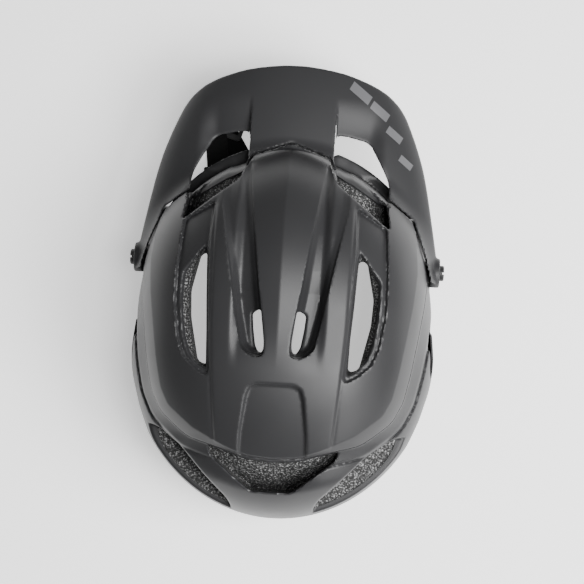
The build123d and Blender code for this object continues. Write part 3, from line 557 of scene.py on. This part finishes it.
def drop_crumbs(points, faces, smallest=400):
    """Leaves out loose bits with fewer faces than smallest."""
    label = np.arange(len(points))
    while True:
        lowest = label[faces].min(1)
        before = label.copy()
        for corner in range(3):
            np.minimum.at(label, faces[:, corner], lowest)
        label = label[label]
        if (label == before).all():
            break
    kinds, which, sizes = np.unique(label[faces[:, 0]], return_inverse=True, return_counts=True)
    faces = faces[sizes[which] >= smallest]
    used, faces = np.unique(faces, return_inverse=True)
    return points[used], faces.reshape(-1, 3)


def thicken(form, points, faces, depth):
    """Closed sheet: the surface, its copy inside, and the border between them."""
    normals = slope(form, points)
    normals /= np.linalg.norm(normals, axis=1, keepdims=True) + 1e-9
    inner = points - depth * normals
    sides = np.concatenate([faces[:, [0, 1]], faces[:, [1, 2]], faces[:, [2, 0]]])
    key = np.sort(sides, axis=1)
    _, first, counts = np.unique(key, axis=0, return_index=True, return_counts=True)
    border = sides[first[counts == 1]]
    n = len(points)
    rim = np.stack([border[:, 1], border[:, 0], border[:, 0] + n, border[:, 1] + n], 1)
    rim = np.concatenate([rim[:, [0, 1, 2]], rim[:, [0, 2, 3]]])
    return np.concatenate([points, inner]), np.concatenate([faces, faces[:, ::-1] + n, rim])


SHARP_ANGLE = math.radians(38)


def add_piece(name, points, faces, material, body, slot, nodes):
    """Mesh object in metres, with its body and the nodes it stands for; the slot argument is not used.
    """
    mesh = bpy.data.meshes.new(name)
    mesh.from_pydata((points * MM).tolist(), [], faces.tolist())
    mesh.validate()
    mesh.shade_smooth()
    mesh.set_sharp_from_angle(angle=SHARP_ANGLE)
    piece = bpy.data.objects.new(name, mesh)
    bpy.context.collection.objects.link(piece)
    mesh.materials.append(material)
    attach(piece, body)
    if nodes:
        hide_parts(*nodes)
    return piece


# ---- materials ----------------------------------------------------------------------------
def new_material(name, color, roughness, specular=0.5):
    """Principled material with plain values; returns it with its nodes, links and shader."""
    material = bpy.data.materials.new(name)
    material.use_nodes = True
    nodes, links = material.node_tree.nodes, material.node_tree.links
    shader = nodes["Principled BSDF"]
    shader.inputs["Base Color"].default_value = (*color, 1)
    shader.inputs["Roughness"].default_value = roughness
    shader.inputs["Specular IOR Level"].default_value = specular
    return material, nodes, links, shader


def textured(nodes, links, kind, scale, **settings):
    """Procedural texture in object space."""
    place = nodes.new("ShaderNodeTexCoord")
    texture = nodes.new(kind)
    texture.inputs["Scale"].default_value = scale
    for name, value in settings.items():
        texture.inputs[name.replace("_", " ").title()].default_value = value
    links.new(place.outputs["Object"], texture.inputs["Vector"])
    return texture


def bump(nodes, links, shader, height, strength, distance):
    """Fine relief on the shader's normal."""
    node = nodes.new("ShaderNodeBump")
    node.inputs["Strength"].default_value = strength
    node.inputs["Distance"].default_value = distance
    links.new(height, node.inputs["Height"])
    links.new(node.outputs["Normal"], shader.inputs["Normal"])


def ramp_node(nodes, links, value, stops):
    """Colour ramp over a value; stops are (place, grey)."""
    node = nodes.new("ShaderNodeValToRGB")
    elements = node.color_ramp.elements
    while len(elements) < len(stops):
        elements.new(0.5)
    for element, (place, grey) in zip(elements, stops):
        element.position = place
        element.color = (grey, grey, grey, 1)
    links.new(value, node.inputs["Fac"])
    return node.outputs["Color"]


def satin(name, grey, roughness, grain=0.06, specular=0.4):
    """Satin black plastic with the faintest grain."""
    tint = (grey, grey, grey * 1.05)
    material, nodes, links, shader = new_material(name, tint, roughness, specular)
    noise = textured(nodes, links, "ShaderNodeTexNoise", 1400.0, detail=2.0)
    bump(nodes, links, shader, noise.outputs["Fac"], grain, 0.0002)
    cloud = textured(nodes, links, "ShaderNodeTexNoise", 35.0, detail=3.0)
    shade = ramp_node(nodes, links, cloud.outputs["Fac"],
                      [(0.3, roughness - 0.025), (0.7, roughness + 0.025)])
    links.new(shade, shader.inputs["Roughness"])
    return material


def beaded(name):
    """Black bead foam: dark beads, their outlines, and scattered pale specks."""
    material, nodes, links, shader = new_material(name, (0.012, 0.012, 0.013), 0.72, 0.3)
    beads = textured(nodes, links, "ShaderNodeTexVoronoi", 330.0)
    specks = textured(nodes, links, "ShaderNodeTexNoise", 850.0, detail=3.0)
    pale = ramp_node(nodes, links, specks.outputs["Fac"],
                     [(0.0, 0.008), (0.46, 0.018), (0.56, 0.08), (0.70, 0.34)])
    links.new(pale, shader.inputs["Base Color"])
    bump(nodes, links, shader, beads.outputs["Distance"], 0.5, 0.0006)
    return material


def woven(name, grey=0.008, scale=1150.0):
    """Black webbing: two crossed sets of fine ribs."""
    material, nodes, links, shader = new_material(name, (grey, grey, grey * 1.05), 0.85, 0.25)
    heights = []
    for direction in ("DIAGONAL", "X"):
        wave = textured(nodes, links, "ShaderNodeTexWave", scale)
        wave.bands_direction = direction
        heights.append(wave.outputs["Fac"])
    mix = nodes.new("ShaderNodeMath")
    mix.operation = "MULTIPLY"
    links.new(heights[0], mix.inputs[0])
    links.new(heights[1], mix.inputs[1])
    shade = ramp_node(nodes, links, mix.outputs[0], [(0.0, grey * 0.6), (1.0, grey * 2.2)])
    links.new(shade, shader.inputs["Base Color"])
    bump(nodes, links, shader, mix.outputs[0], 0.7, 0.0003)
    return material


def knit(name):
    """Dark brushed cloth over foam."""
    material, nodes, links, shader = new_material(name, (0.02, 0.02, 0.022), 0.95, 0.2)
    shader.inputs["Sheen Weight"].default_value = 0.25
    noise = textured(nodes, links, "ShaderNodeTexNoise", 900.0, detail=4.0)
    shade = ramp_node(nodes, links, noise.outputs["Fac"], [(0.3, 0.012), (0.75, 0.034)])
    links.new(shade, shader.inputs["Base Color"])
    bump(nodes, links, shader, noise.outputs["Fac"], 0.6, 0.0004)
    return material


def metal(name, color, roughness):
    """Plain metal with fine tool marks."""
    material, nodes, links, shader = new_material(name, color, roughness)
    shader.inputs["Metallic"].default_value = 1.0
    noise = textured(nodes, links, "ShaderNodeTexNoise", 800.0, detail=2.0)
    bump(nodes, links, shader, noise.outputs["Fac"], 0.15, 0.0002)
    return material


MATERIALS = {
    "shell": satin("satin_shell", 0.022, 0.40, specular=0.28),
    "visor": satin("matte_visor", 0.024, 0.46, specular=0.26),
    "foam": beaded("bead_foam"),
    "webbing": woven("woven_webbing"),
    "padding": knit("brushed_knit"),
    "black_nylon": satin("moulded_nylon", 0.016, 0.5, 0.2),
    "acetal": satin("grey_acetal", 0.25, 0.45),
    "steel": metal("plain_steel", (0.5, 0.5, 0.51), 0.35),
    "brass": metal("machined_brass", (0.6, 0.45, 0.2), 0.35),
}


STRIPE_GREY = satin("printed_grey", 0.11, 0.5)


# ---- pieces -------------------------------------------------------------------------------
BODY_BOX = ((-115.0, -112.0, -3.0), (115.0, 166.0, 182.0))
VISOR_BOX = ((-114.0, -165.0, 66.0), (114.0, -1.0, 122.0))
WRAP = 3.2  # how far a shell turns down into a vent
SKIN = 1.3
SHELL_GAP = 0.4  # between the two shells at the deck's edge
DECK_LOW = 70  # everything lower belongs to the lower shell
FOAM_CELL_SHARE = 1.15


def make_shells():
    """Upper and lower shells: the outer face and its lips, cut apart on the deck's edge."""
    points, quads = net(body_form, *BODY_BOX, CELL)
    faces = triangles(points, quads)
    x, y, z = points.T
    depth = -shell_face((x, y, z))
    ledge = DECK(x, y) - ledge_width(np.abs(x), y)
    above = np.where(z > DECK_LOW, ledge, 30)
    window = np.maximum(SIDE_WINDOW(y, z), 60 - np.abs(x))
    regions = {
        "upper_shell": smooth_max(above, depth - WRAP, 0.5),
        "lower_shell": np.maximum(smooth_max(SHELL_GAP - above, depth - WRAP, 0.5), -window),
    }
    for name, keep in regions.items():
        part = drop_crumbs(*clip(points, faces, keep))
        skin = thicken(body_form, *part, SKIN)
        add_piece(name + "_skin", *skin, MATERIALS["shell"], "helmet", "shell", [name])


def make_foam():
    """Bead foam liner."""
    points, quads = net(foam_form, *BODY_BOX, CELL * FOAM_CELL_SHARE)
    faces = triangles(points, quads)
    points, faces = drop_crumbs(points, faces)
    add_piece("foam_liner", points, faces, MATERIALS["foam"], "helmet", "foam", ["eps_liner"])


def make_visor():
    """Visor."""
    points, quads = net(visor_form, *VISOR_BOX, VISOR_CELL)
    add_piece("visor_brim", points, quads, MATERIALS["visor"], "visor_assembly", "visor",
              ["visor"])


# Each bar's centre, length and width.
STRIPES = (((-46, -143), 17, 6.0), ((-60, -131), 15, 5.4), ((-71, -115), 13, 4.8),
           ((-80, -96), 11, 4.2))
STRIPE_LEAN = math.radians(38)
STRIPE_LIFT = 0.12
STRIPE_ROWS, STRIPE_COLUMNS = 24, 9
STRIPE_SEARCH = (62.0, 130.0)  # heights between which the visor's face is sought


def make_stripes():
    """Plain slanted bars printed on the visor's right side."""
    for number, (centre, length, width) in enumerate(STRIPES):
        u, v = np.meshgrid(np.linspace(-length / 2, length / 2, STRIPE_ROWS),
                           np.linspace(-width / 2, width / 2, STRIPE_COLUMNS),
                           indexing="ij")
        x = centre[0] - u * math.cos(STRIPE_LEAN) + v * 0.5
        y = centre[1] + u * math.sin(STRIPE_LEAN) + v
        low, high = (np.full(x.shape, height) for height in STRIPE_SEARCH)
        for _ in range(30):
            middle = (low + high) / 2
            inside = visor_face((x, y, middle)) - STRIPE_LIFT < 0
            low, high = np.where(inside, middle, low), np.where(inside, high, middle)
        points = np.stack([x, y, low], 2).reshape(-1, 3)
        i, j = np.meshgrid(range(STRIPE_ROWS - 1), range(STRIPE_COLUMNS - 1), indexing="ij")
        corner = (i * STRIPE_COLUMNS + j).reshape(-1)
        beside = corner + STRIPE_COLUMNS
        quads = np.stack([corner, beside, beside + 1, corner + 1], 1)
        add_piece("visor_stripe_%d" % (number + 1), points, quads, STRIPE_GREY,
                  "visor_assembly", "visor", [])


# Spans along x, y and z of each pad on the cavity's wall.
PAD_PLACES = {
    "brow_pad": ((-56, 56), (-90, -20), (66, 84)),
    "crown_pad": ((-7.5, 7.5), (-34, 92), (120, 160)),
    "side_pad_left": ((60, 90), (0, 66), (78, 98)),
    "side_pad_right": ((-90, -60), (0, 66), (78, 98)),
    "rear_pad_left": ((16, 52), (76, 140), (66, 84)),
    "rear_pad_right": ((-52, -16), (76, 140), (66, 84)),
}


PAD_MIDDLE, PAD_HALF_DEPTH, PAD_CORNER = 2.8, 2.5, 4.5
PAD_CELL = 1.2
NAPE_VOXEL, NAPE_SMOOTHING = 1.1, 6
STRAP_VOXEL, STRAP_SMOOTHING = 0.5, 3


def pad_form(spans):
    """Crowned pad between the foam and the head, within a box."""
    middle = [(a + b) / 2 for a, b in spans]
    half = [(b - a) / 2 for a, b in spans]

    def form(p):
        inside = dome(p, *CAVITY)
        side = np.maximum.reduce([np.abs(c - m) - h for c, m, h in zip(p, middle, half)])
        return smooth_max(np.abs(inside + PAD_MIDDLE) - PAD_HALF_DEPTH, side, PAD_CORNER)
    return form


def make_pads():
    """Fit pads, each a soft crowned form, and the two small nape pads copied from the frame."""
    for name, spans in PAD_PLACES.items():
        low = [a - 2 for a, _ in spans]
        high = [b + 2 for _, b in spans]
        points, quads = net(pad_form(spans), low, high, PAD_CELL)
        pad = add_piece(name + "_soft", points, quads, MATERIALS["padding"], "helmet", "padding",
                        [name])
    for side in ("left", "right"):
        pad = soft_copy("nape_pad_" + side, NAPE_VOXEL, NAPE_SMOOTHING, "cradle", "padding")


def soft_copy(node, voxel, rounds, body, slot):
    """Rounded cloth piece with the size and place of a CAD node."""
    mesh = frame["nodes"][node].data.copy()
    mesh.materials.clear()
    piece = bpy.data.objects.new(node + "_soft", mesh)
    bpy.context.collection.objects.link(piece)
    remesh = piece.modifiers.new("remesh", "REMESH")
    remesh.mode = "VOXEL"
    remesh.voxel_size = voxel * MM
    smooth = piece.modifiers.new("smooth", "SMOOTH")
    smooth.factor = 0.5
    smooth.iterations = rounds
    made = bpy.data.meshes.new_from_object(
        piece.evaluated_get(bpy.context.evaluated_depsgraph_get()))
    piece.modifiers.clear()
    piece.data = made
    made.name = piece.name
    made.shade_smooth()
    made.materials.clear()
    made.materials.append(MATERIALS[slot])
    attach(piece, body)
    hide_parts(node)
    return piece


STRAPS = ("front_strap_left", "front_strap_right", "rear_strap_left", "rear_strap_right",
          "chin_strap_left", "chin_strap_right", "chin_strap_tail")


def make_straps():
    """Webbing: the frame's straps with their edges softened."""
    for node in STRAPS:
        soft_copy(node, STRAP_VOXEL, STRAP_SMOOTHING, "helmet", "webbing")


def finish_nodes():
    """Gives every carried-over CAD node its slot's material."""
    slots = {part["node"]: part["material_slot"] for part in frame["record"]["subparts"]}
    for name, node in frame["nodes"].items():
        for place in node.material_slots:
            place.material = MATERIALS[slots[name]]


make_shells()
make_foam()
make_visor()
make_stripes()
make_pads()
make_straps()
finish_nodes()
